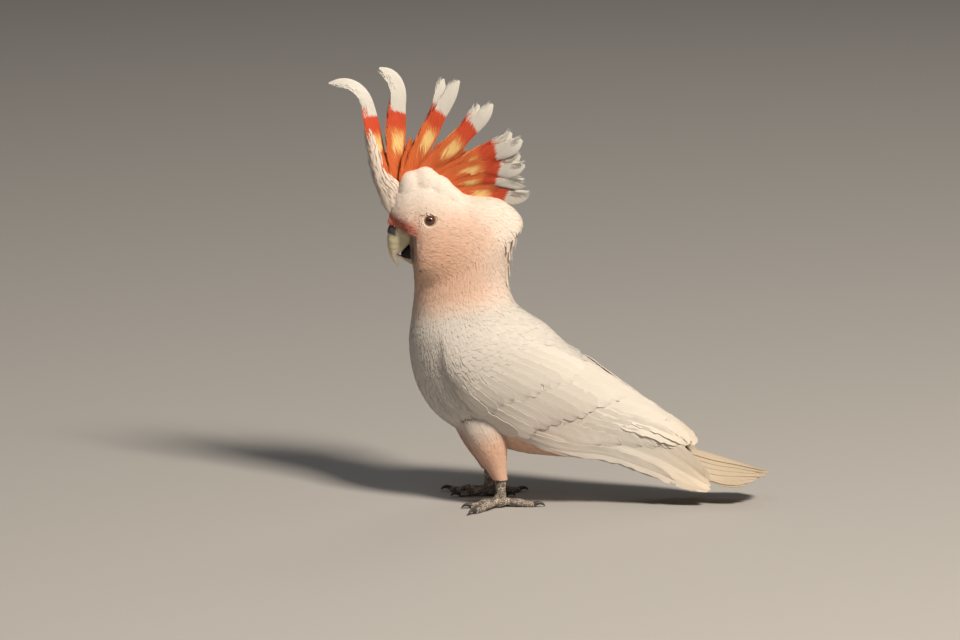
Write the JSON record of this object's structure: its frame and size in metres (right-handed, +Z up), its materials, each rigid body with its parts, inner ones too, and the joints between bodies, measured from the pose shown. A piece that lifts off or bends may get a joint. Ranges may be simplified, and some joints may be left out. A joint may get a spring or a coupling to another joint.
{
  "type": "pink cockatoo",
  "caption": "Standing pink cockatoo with its banded crest raised and its wings folded, life size, one still model without joints.",
  "frame": {"origin": "middle of the foot of the bounding box, level with the ground the toes stand on", "axes": "+X towards the tail, so the bird faces -X; +Y towards the bird's right side; +Z up"},
  "size_m": [0.3638, 0.1092, 0.3676],
  "materials": {
    "pink_plumage": "soft salmon-pink feathers, matt",
    "white_plumage": "warm white feathers, matt with a faint sheen along the quills",
    "crest_plumage": "feathers banded orange-red, yellow and white, matt",
    "horn": "pale horn, satin, finely grained",
    "leg_skin": "grey scaly skin, matt",
    "claw": "dark horn, satin",
    "eye": "wet and glossy",
    "tongue": "dark and dry"
  },
  "bodies": {
    "root": {"bill_lower": "horn", "bill_upper": "horn", "crest_feather_1": "crest_plumage", "crest_feather_2": "crest_plumage", "crest_feather_3": "crest_plumage", "crest_feather_4": "crest_plumage", "crest_feather_5": "crest_plumage", "crest_feather_6": "crest_plumage", "crest_feather_7": "crest_plumage", "crest_feather_8": "crest_plumage", "eye_left": "eye", "eye_right": "eye", "head": "pink_plumage", "left_tarsus": "leg_skin", "left_thigh": "pink_plumage", "left_toe1": "leg_skin", "left_toe1_claw": "claw", "left_toe2": "leg_skin", "left_toe2_claw": "claw", "left_toe3": "leg_skin", "left_toe3_claw": "claw", "left_toe4": "leg_skin", "left_toe4_claw": "claw", "neck": "pink_plumage", "right_tarsus": "leg_skin", "right_thigh": "pink_plumage", "right_toe1": "leg_skin", "right_toe1_claw": "claw", "right_toe2": "leg_skin", "right_toe2_claw": "claw", "right_toe3": "leg_skin", "right_toe3_claw": "claw", "right_toe4": "leg_skin", "right_toe4_claw": "claw", "tail": "white_plumage", "tongue": "tongue", "trunk": "pink_plumage", "wing_left_coverts": "white_plumage", "wing_left_inner_quills": "white_plumage", "wing_left_outer_quills": "white_plumage", "wing_right_coverts": "white_plumage", "wing_right_inner_quills": "white_plumage", "wing_right_outer_quills": "white_plumage"}
  },
  "joints": []
}
